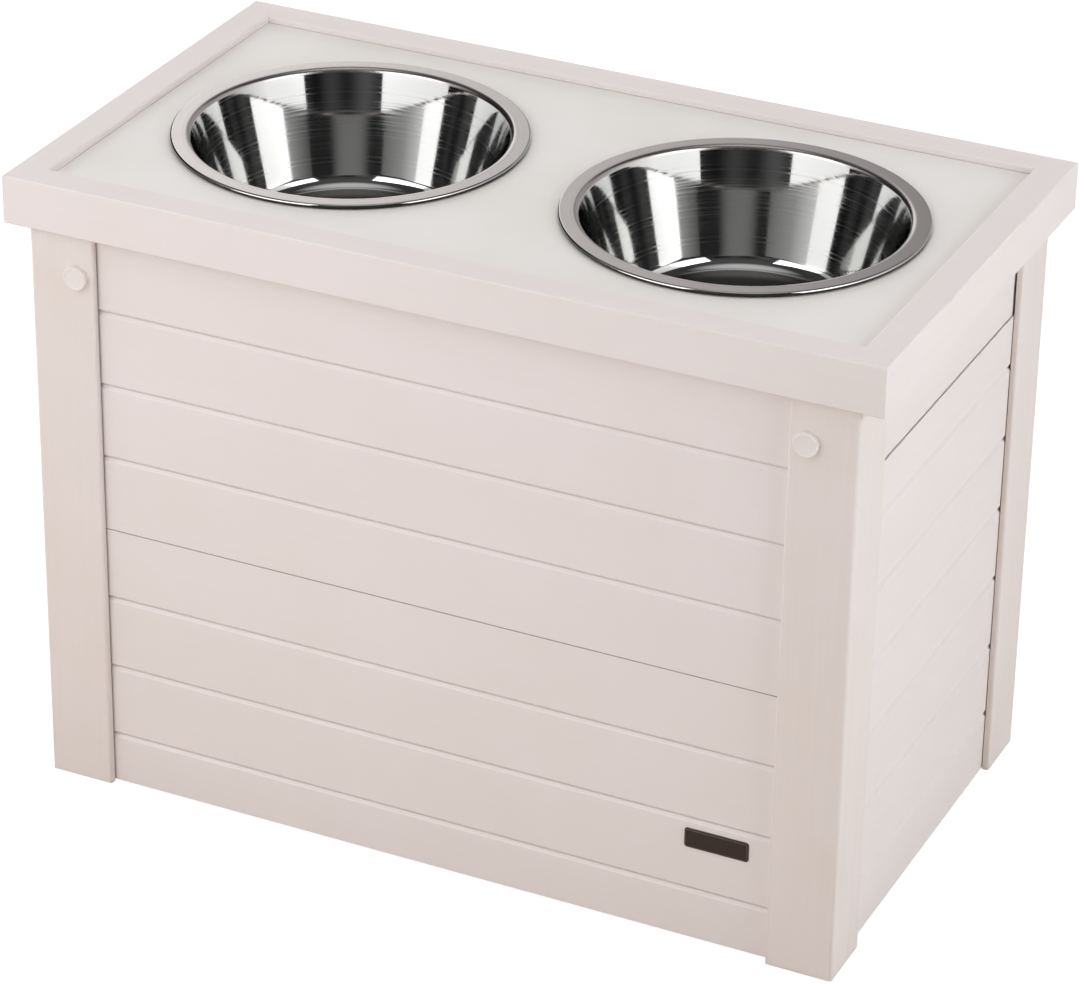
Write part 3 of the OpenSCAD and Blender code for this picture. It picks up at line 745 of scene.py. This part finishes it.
@dataclass
class Bowl:
    """One steel bowl, turned as a closed shell with a flat rim and a rolled bead."""

    side: str
    mouth_diameter_mm: float = 209.0
    foot_diameter_mm: float = 165.4
    depth_mm: float = 77.0
    wall_mm: float = 0.8
    lip_round_mm: float = 4.0
    foot_round_mm: float = 12.0
    bead_mm: float = 1.5
    turns: int = 288
    round_steps: int = 20
    straight_steps: int = 16
    floor_steps: int = 5
    bead_top_steps: int = 10

    def section(self, rim_radius: float) -> tuple[list[Point], dict[Zone, int]]:
        """Half section of the steel, in millimetres, with zero at the top of the rim.

        Args:
            rim_radius: Radius of the outer edge of the bead.

        Returns:
            The points from the middle of the inside, over the rim, to the middle of the
            outside, and for each zone the number of the point where it starts.
        """
        mouth, foot = self.mouth_diameter_mm / 2, self.foot_diameter_mm / 2
        slope = math.degrees(math.atan2(self.depth_mm, mouth - foot))
        half_turn = math.tan(math.radians(slope / 2))
        foot_middle = (foot - self.foot_round_mm * half_turn, self.foot_round_mm - self.depth_mm)
        lip_middle = (mouth + self.lip_round_mm * half_turn, -self.lip_round_mm)
        bead_middle = (rim_radius - self.bead_mm, -self.bead_mm)
        curl = 180 + math.degrees(math.asin((self.bead_mm - self.wall_mm) / self.bead_mm))
        outer_foot, inner_lip = self.foot_round_mm + self.wall_mm, self.lip_round_mm - self.wall_mm
        steps = self.round_steps
        stretches = (
            (Zone.FLOOR, [(0.0, -self.depth_mm)]),
            (Zone.WALL, arc(foot_middle, self.foot_round_mm, -90, slope - 90, steps)),
            (Zone.RIM, arc(lip_middle, self.lip_round_mm, 90 + slope, 90, steps)),
            (Zone.BEAD, arc(bead_middle, self.bead_mm, 90, -curl, 2 * steps)),
            (Zone.OUTSIDE, arc(lip_middle, inner_lip, 90, 90 + slope, steps)),
            (Zone.OUTSIDE, arc(foot_middle, outer_foot, slope - 90, -90, steps)),
            (Zone.OUTSIDE, [(0.0, -self.depth_mm - self.wall_mm)]),
        )
        points: list[Point] = []
        starts: dict[Zone, int] = {}
        for zone, stretch in stretches:
            if points:
                points += self.between(points[-1], stretch[0])
            starts.setdefault(zone, len(points))
            points += stretch
        # The rougher floor, drawn darker as a painted shade, runs a little way up the foot's
        # round, and the bead's underside gets a near-black painted shade
        starts[Zone.WALL] += self.floor_steps
        starts[Zone.UNDER_BEAD] = starts[Zone.BEAD] + self.bead_top_steps
        return points, starts

    def between(self, start: Point, end: Point) -> list[Point]:
        """Points on the straight stretch between two rounds.

        Args:
            start: Last point of one round.
            end: First point of the next.

        Returns:
            The points between the two, both ends left out.
        """
        shares = [k / self.straight_steps for k in range(1, self.straight_steps)]
        return [(start[0] + (end[0] - start[0]) * s, start[1] + (end[1] - start[1]) * s)
                for s in shares]

    def turn(self, rim_radius: float) -> bpy.types.Mesh:
        """Turns the section round the bowl's axis.

        Args:
            rim_radius: Radius of the outer edge of the bead, in millimetres.

        Returns:
            The shell, with a material number for each zone.
        """
        points, starts = self.section(rim_radius)
        mesh = bpy.data.meshes.new(f"{self.side}_steel_bowl")
        shape = bmesh.new()
        angles = [2 * math.pi * k / self.turns for k in range(self.turns)]
        rings = []
        for radius, height in points:
            rings.append([shape.verts.new((
                radius * MM * math.cos(a), radius * MM * math.sin(a), height * MM))
                for a in (angles if radius else angles[:1])])
        for number, (inner, outer) in enumerate(zip(rings, rings[1:])):
            zone = [zone for zone in Zone if number >= starts[zone]][-1]
            for k in range(self.turns):
                after = (k + 1) % self.turns
                if len(inner) == 1:
                    corners = [inner[0], outer[k], outer[after]]
                elif len(outer) == 1:
                    corners = [inner[k], outer[0], inner[after]]
                else:
                    corners = [inner[k], outer[k], outer[after], inner[after]]
                face = shape.faces.new(corners)
                face.smooth = True
                face.material_index = zone.value
        bmesh.ops.recalc_face_normals(shape, faces=shape.faces)
        shape.to_mesh(mesh)
        shape.free()
        return mesh

    def build(self) -> bpy.types.Object:
        """Turns the bowl to the width of its node and puts it in that node's place.

        Returns:
            The bowl, riding on its body in place of its node.
        """
        node = f"{self.side}_bowl"
        low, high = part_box(node)
        mesh = self.turn((high.x - low.x) / 2 / MM)
        piece = bpy.data.objects.new(f"{self.side}_steel_bowl", mesh)
        bpy.context.scene.collection.objects.link(piece)
        piece.location = ((low.x + high.x) / 2, (low.y + high.y) / 2, high.z)
        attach(piece, node)
        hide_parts(node)
        LOG.info("built %s with %d faces", piece.name, len(mesh.polygons))
        return piece


@dataclass
class BowlPair:
    """The two bowls and the states of their steel."""

    # The floor's steel is drawn darker than the wall's, a painted shade for the dark that it
    # mirrors
    floor_color: str = "7C7A78"
    rim_color: str = "D6CFCD"
    # Near black of the bead's underside, a painted shade
    under_bead_shade_color: str = "3E3A38"

    def build(self) -> None:
        """Turns both bowls and gives each zone its polish."""
        floor = SteelFinish("stainless_brushed_floor", Polish.SATIN, self.floor_color).build()
        wall = SteelFinish("stainless_mirror_wall", Polish.MIRROR).build()
        rim = SteelFinish("stainless_satin_rim", Polish.SATIN, self.rim_color).build()
        # Painted shade: the bead's underside is drawn near black for its contact shadow and the
        # dark it mirrors
        under = SteelFinish("stainless_under_bead", Polish.BRUSHED, self.under_bead_shade_color).build()
        outside = SteelFinish("stainless_brushed_outside", Polish.BRUSHED).build()
        finishes = {Zone.FLOOR: floor, Zone.WALL: wall, Zone.RIM: rim, Zone.BEAD: wall,
                    Zone.UNDER_BEAD: under, Zone.OUTSIDE: outside}
        for side in SIDES:
            piece = Bowl(side).build()
            for zone in Zone:
                piece.data.materials.append(finishes[zone])


def show_to_gloss_only(piece: bpy.types.Object) -> None:
    """Keeps a studio panel out of the picture and of the plain light, but in the reflections.

    Args:
        piece: Panel or room that only shiny surfaces are to show.
    """
    piece.visible_camera = False
    piece.visible_diffuse = False
    piece.visible_transmission = False
    piece.visible_volume_scatter = False
    piece.visible_shadow = False


def toward(azimuth: float, elevation: float) -> Vector:
    """Way to a place seen from the middle.

    Args:
        azimuth: Angle from the front, to the right.
        elevation: Angle above the level.

    Returns:
        A vector one long.
    """
    turn, lift = math.radians(azimuth), math.radians(elevation)
    return Vector((math.sin(turn) * math.cos(lift), -math.cos(turn) * math.cos(lift),
                   math.sin(lift)))


@dataclass(frozen=True)
class Card:
    """Upright panel that only shiny surfaces see, as flags and reflectors stand in a studio.

    Its light changes evenly from start to end, and above its even part it climbs to the share
    that rise says. With folds it has soft stripes, as a hanging curtain has.
    """

    name: str
    start: Point
    end: Point
    level: float
    end_level: float
    low: float = 0.0
    high: float = 1.75
    rise: float = 1.0
    even_share: float = 0.33
    folds: float = 0.0
    fold_shade: float = 0.3

    def build(self) -> None:
        """Puts the panel up, from its start to its end in plan."""
        mesh = bpy.data.meshes.new(self.name)
        corners = [(*self.start, self.low), (*self.end, self.low),
                   (*self.end, self.high), (*self.start, self.high)]
        mesh.from_pydata(corners, [], [(0, 1, 2, 3)])
        layer = mesh.uv_layers.new(name="card")
        for loop, place in zip(layer.data, ((0, 0), (1, 0), (1, 1), (0, 1))):
            loop.uv = place
        mesh.materials.append(self.glow())
        piece = bpy.data.objects.new(self.name, mesh)
        bpy.context.scene.collection.objects.link(piece)
        show_to_gloss_only(piece)

    def glow(self) -> bpy.types.Material:
        """Makes the panel's light.

        Returns:
            The material of the panel.
        """
        material, tree = new_material(self.name)
        place = add_node(tree, "SeparateXYZ", {
            "Vector": add_node(tree, "TexCoord").outputs["UV"]})
        level = add_node(tree, "MapRange", {
            "Value": place.outputs["X"], "To Min": self.level, "To Max": self.end_level})
        climb = add_node(tree, "MapRange", {
            "Value": place.outputs["Y"], "From Min": self.even_share, "To Min": 1.0,
            "To Max": self.rise})
        strength = add_node(tree, "Math", {
            FIRST: level.outputs["Result"], SECOND: climb.outputs["Result"]},
            operation="MULTIPLY")
        if self.folds:
            phase = add_node(tree, "Math", {
                FIRST: place.outputs["X"], SECOND: 2 * math.pi * self.folds},
                operation="MULTIPLY")
            wave = add_node(tree, "Math", {FIRST: phase.outputs["Value"]}, operation="COSINE")
            shade = add_node(tree, "MapRange", {
                "Value": wave.outputs["Value"], "From Min": -1.0, "To Min": 1.0,
                "To Max": self.fold_shade})
            strength = add_node(tree, "Math", {
                FIRST: strength.outputs["Value"], SECOND: shade.outputs["Result"]},
                operation="MULTIPLY")
        light = add_node(tree, "Emission", {"Strength": strength.outputs["Value"]})
        add_node(tree, "OutputMaterial", {"Surface": light.outputs["Emission"]})
        return material


@dataclass(frozen=True)
class Lamp:
    """Soft rectangular lamp that shiny surfaces don't mirror."""

    name: str
    place: Place
    target: Place
    width: float
    height: float
    power: float
    color: str = WHITE

    def build(self) -> None:
        """Hangs the lamp in its place, turned to its target."""
        light = bpy.data.lights.new(self.name, "AREA")
        light.shape = "RECTANGLE"
        light.size = self.width
        light.size_y = self.height
        light.energy = self.power
        light.color = linear(self.color)[:3]
        lamp = bpy.data.objects.new(self.name, light)
        bpy.context.scene.collection.objects.link(lamp)
        lamp.location = self.place
        aim = Vector(self.target) - Vector(self.place)
        lamp.rotation_euler = aim.to_track_quat("-Z", "Y").to_euler()
        lamp.visible_glossy = False


@dataclass(frozen=True)
class Patch:
    """Soft bright patch of the room, by where it is seen from the bowls and how far it fades."""

    azimuth: float
    elevation: float
    spread: float
    gain: float


@dataclass(frozen=True)
class Room:
    """Dim studio room that the steel mirrors: dark low down, greyer up high, with patches.

    The patches are over the front right, at the rear left, and the light on the ceiling.
    """

    radius: float = 6.0
    middle_height: float = 0.435
    open_share: float = 0.2
    columns: int = 48
    rows: int = 24
    greys: Sequence[Point] = ((0.0, 0.01), (0.35, 0.015), (0.55, 0.03), (0.8, 0.055),
                              (0.97, 0.045))
    patches: Sequence[Patch] = (
        Patch(azimuth=28.0, elevation=56.0, spread=40.0, gain=0.04),
        Patch(azimuth=-150.0, elevation=43.0, spread=26.0, gain=0.3),
        Patch(azimuth=0.0, elevation=90.0, spread=26.0, gain=0.6),
    )

    def build(self) -> None:
        """Puts up the room as a dome that is open underneath."""
        mesh = bpy.data.meshes.new("studio_room")
        shape = bmesh.new()
        bmesh.ops.create_uvsphere(shape, u_segments=self.columns, v_segments=self.rows,
                                  radius=self.radius)
        below = [v for v in shape.verts if v.co.z < -self.open_share * self.radius]
        bmesh.ops.delete(shape, geom=below, context="VERTS")
        shape.to_mesh(mesh)
        shape.free()
        mesh.materials.append(self.glow())
        dome = bpy.data.objects.new("studio_room", mesh)
        bpy.context.scene.collection.objects.link(dome)
        dome.location = (0, 0, self.middle_height)
        show_to_gloss_only(dome)

    def glow(self) -> bpy.types.Material:
        """Makes the room's dim light.

        Returns:
            The material of the dome.
        """
        material, tree = new_material("studio_room")
        place = add_node(tree, "TexCoord").outputs["Object"]
        way = add_node(tree, "VectorMath", {FIRST: place}, operation="NORMALIZE")
        height = add_node(tree, "SeparateXYZ", {"Vector": way.outputs["Vector"]})
        ramp = add_node(tree, "ValToRGB", {"Fac": height.outputs["Z"]})
        stops = ramp.color_ramp.elements
        ready = len(stops)
        for number, (at, grey) in enumerate(self.greys):
            stop = stops[number] if number < ready else stops.new(at)
            stop.position = at
            stop.color = (grey, grey, grey, 1.0)
        total = ramp.outputs["Color"]
        for patch in self.patches:
            near = add_node(tree, "VectorMath", {
                FIRST: way.outputs["Vector"], SECOND: toward(patch.azimuth, patch.elevation)},
                operation="DOT_PRODUCT")
            fade = add_node(tree, "MapRange", {
                "Value": near.outputs["Value"],
                "From Min": math.cos(math.radians(patch.spread)),
                "To Max": patch.gain}, interpolation_type="SMOOTHSTEP")
            total = add_node(tree, "Math", {FIRST: total, SECOND: fade.outputs["Result"]},
                             operation="ADD").outputs["Value"]
        light = add_node(tree, "Emission", {"Strength": total})
        add_node(tree, "OutputMaterial", {"Surface": light.outputs["Emission"]})
        material.cycles.emission_sampling = "NONE"
        return material


@dataclass(frozen=True)
class LongLens:
    """Camera with a long lens, to the front right and above, as the feeder is photographed.

    Its angles, place and focal length were solved from the straight edges in the photograph.
    """

    azimuth: float = 25.091
    elevation: float = 28.195
    roll: float = 0.905
    target_mm: Place = (-55.209, 116.745, 133.092)
    distance: float = 3.0671
    focal_pixels: float = 4415.55
    picture_pixels: float = 1080.0
    sensor_mm: float = 36.0
    nearest: float = 0.1
    farthest: float = 60.0

    def build(self) -> None:
        """Sets the camera up and makes it the scene's own."""
        back = toward(self.azimuth, self.elevation)
        data = bpy.data.cameras.new("studio_camera")
        data.sensor_fit = "HORIZONTAL"
        data.sensor_width = self.sensor_mm
        data.lens = self.focal_pixels / self.picture_pixels * self.sensor_mm
        data.clip_start, data.clip_end = self.nearest, self.farthest
        camera = bpy.data.objects.new("studio_camera", data)
        bpy.context.scene.collection.objects.link(camera)
        camera.location = Vector(self.target_mm) * MM + back * self.distance
        camera.rotation_euler = (-back).to_track_quat("-Z", "Y").to_euler()
        camera.rotation_euler.rotate_axis("Z", math.radians(self.roll))
        bpy.context.scene.camera = camera


@dataclass
class Studio:
    """Pale floor, white surroundings, soft lamps, panels for the reflections and the camera."""

    floor_reach: float = 12.0
    floor_color: str = WHITE
    # What the floor throws back on the feeder is warmer than the floor looks
    floor_bounce: str = "C8B9A8"
    # Of the floor that is seen, this share glows white and the rest keeps the shadow
    floor_glow: float = 0.84
    floor_white: float = 1.08
    ambient: float = 0.01
    ambient_color: str = "FFF8F2"
    front_light: str = "F9FCFF"
    side_light: str = "F3FAFF"
    top_light: str = "FFFDFC"

    def build(self) -> None:
        """Sets up everything round the feeder."""
        self.build_world()
        self.build_floor()
        Room().build()
        self.build_cards()
        self.build_lamps()
        LongLens().build()
        settings = bpy.context.scene
        settings.view_settings.view_transform = "Standard"
        settings.cycles.use_denoising = True

    def seen_rays(self, tree: bpy.types.NodeTree) -> bpy.types.NodeSocket:
        """Tells the rays that show a surface from those that only carry its light.

        Args:
            tree: Node tree that asks.

        Returns:
            One for rays that the eye, a mirror or glass sends out, and zero for the others.
        """
        path = add_node(tree, "LightPath")
        sharp = add_node(tree, "Math", {
            FIRST: path.outputs["Is Camera Ray"], SECOND: path.outputs["Is Glossy Ray"]},
            operation="MAXIMUM")
        return add_node(tree, "Math", {
            FIRST: sharp.outputs["Value"], SECOND: path.outputs["Is Transmission Ray"]},
            operation="MAXIMUM").outputs["Value"]

    def build_world(self) -> None:
        """White where it is seen, and a soft warm fill where it only lights."""
        world = bpy.data.worlds.new("studio_world")
        world.use_nodes = True
        tree = world.node_tree
        tree.nodes.clear()
        fill = add_node(tree, "Background", {
            "Color": linear(self.ambient_color), "Strength": self.ambient})
        white = add_node(tree, "Background", {"Color": linear(WHITE), "Strength": 1.0})
        mix = add_node(tree, "MixShader", {
            SHARE: self.seen_rays(tree), SHADER_A: fill.outputs["Background"],
            SHADER_B: white.outputs["Background"]})
        add_node(tree, "OutputWorld", {"Surface": mix.outputs["Shader"]})
        bpy.context.scene.world = world

    def build_floor(self) -> None:
        """Pale floor that keeps a light shadow under the feeder."""
        mesh = bpy.data.meshes.new("studio_floor")
        reach = self.floor_reach
        corners = [(-reach, -reach, 0), (reach, -reach, 0), (reach, reach, 0), (-reach, reach, 0)]
        mesh.from_pydata(corners, [], [(0, 1, 2, 3)])
        material, tree = new_material("studio_floor")
        seen = self.seen_rays(tree)
        color = add_node(tree, "Mix", {
            SHARE: seen, COLOR_A: linear(self.floor_bounce), COLOR_B: linear(self.floor_color)},
            data_type="RGBA")
        paper = add_node(tree, "BsdfDiffuse", {"Color": color.outputs[MIXED_COLOR]})
        white = add_node(tree, "Emission", {
            "Color": linear(WHITE), "Strength": self.floor_white})
        share = add_node(tree, "Math", {FIRST: seen, SECOND: self.floor_glow},
                         operation="MULTIPLY")
        mix = add_node(tree, "MixShader", {
            SHARE: share.outputs["Value"], SHADER_A: paper.outputs["BSDF"],
            SHADER_B: white.outputs["Emission"]})
        add_node(tree, "OutputMaterial", {"Surface": mix.outputs["Shader"]})
        mesh.materials.append(material)
        floor = bpy.data.objects.new("studio_floor", mesh)
        bpy.context.scene.collection.objects.link(floor)

    def build_cards(self) -> None:
        """White and grey panels where the steel shows them, side by side in plan."""
        left_end, front_left, front_middle = (-1.37, -0.12), (-1.37, -1.12), (-0.065, -1.12)
        curtain_start, curtain_end = (-0.065, -1.13), (1.17, -0.71)
        side_start, side_middle, side_end = (1.17, -0.7), (1.17, 0.06), (1.17, 0.75)
        rear_corner = (0.5, 1.35)
        rear_left, rear_middle, rear_right = (-2.1, 2.3), (-0.3, 2.3), (1.9, 2.3)
        cards = (
            Card("key_panel", front_left, front_middle, level=1.2, end_level=1.45, rise=2.8),
            Card("curtain", curtain_start, curtain_end, level=0.12, end_level=0.02, high=1.1,
                 folds=2.5),
            Card("side_panel", side_start, side_middle, level=1.4, end_level=1.3, rise=2.6),
            Card("side_tail", side_middle, side_end, level=1.25, end_level=0.6),
            Card("side_end", side_end, rear_corner, level=0.6, end_level=0.3),
            Card("rear_panel", rear_left, rear_middle, level=1.45, end_level=0.15, low=0.3,
                 high=2.2),
            Card("rear_tail", rear_middle, rear_right, level=0.4, end_level=0.4, low=0.3,
                 high=2.0),
            Card("left_panel", left_end, front_left, level=0.16, end_level=0.7, low=1.0),
        )
        for card in cards:
            card.build()

    def build_lamps(self) -> None:
        """Soft boxes in front, on both sides, overhead and behind, so that no side stays dark."""
        lamps = (
            Lamp("left_box", (-0.9, -1.0, 0.7), (-0.05, -0.15, 0.25),
                 width=1.0, height=0.8, power=4.1, color=self.front_light),
            Lamp("front_box", (0.0, -1.3, 0.45), (0.0, -0.15, 0.3),
                 width=1.0, height=0.7, power=5.0, color=self.front_light),
            Lamp("high_box", (-0.3, -1.0, 1.4), (0.0, -0.15, 0.25),
                 width=1.0, height=1.0, power=5.7, color=self.front_light),
            Lamp("side_box", (1.5, -0.15, 0.72), (0.2, 0.0, 0.25),
                 width=1.2, height=1.0, power=16.6, color=self.side_light),
            Lamp("top_box", (0.0, 0.05, 2.3), (0.0, 0.0, 0.25),
                 width=2.0, height=2.0, power=9.2, color=self.top_light),
            Lamp("rear_top_box", (0.3, 0.6, 1.6), (0.1, 0.0, 0.4),
                 width=1.4, height=1.2, power=4.2, color=self.top_light),
            Lamp("far_side_box", (-1.5, -0.1, 0.85), (-0.2, 0.0, 0.25),
                 width=1.2, height=1.0, power=9.0),
            Lamp("rear_box", (-0.6, 2.2, 0.9), (0.0, 0.1, 0.25),
                 width=1.6, height=1.2, power=30.0),
        )
        for lamp in lamps:
            lamp.build()


def main() -> None:
    """Builds the studio, then dresses the box, the lid, the hinges and the bowls in order."""
    logging.basicConfig(level=logging.INFO, format="%(name)s: %(message)s")
    Studio().build()
    Cabinet().dress()
    Lid().dress()
    Hinges().dress()
    BowlPair().build()


if __name__ == "__main__":
    main()
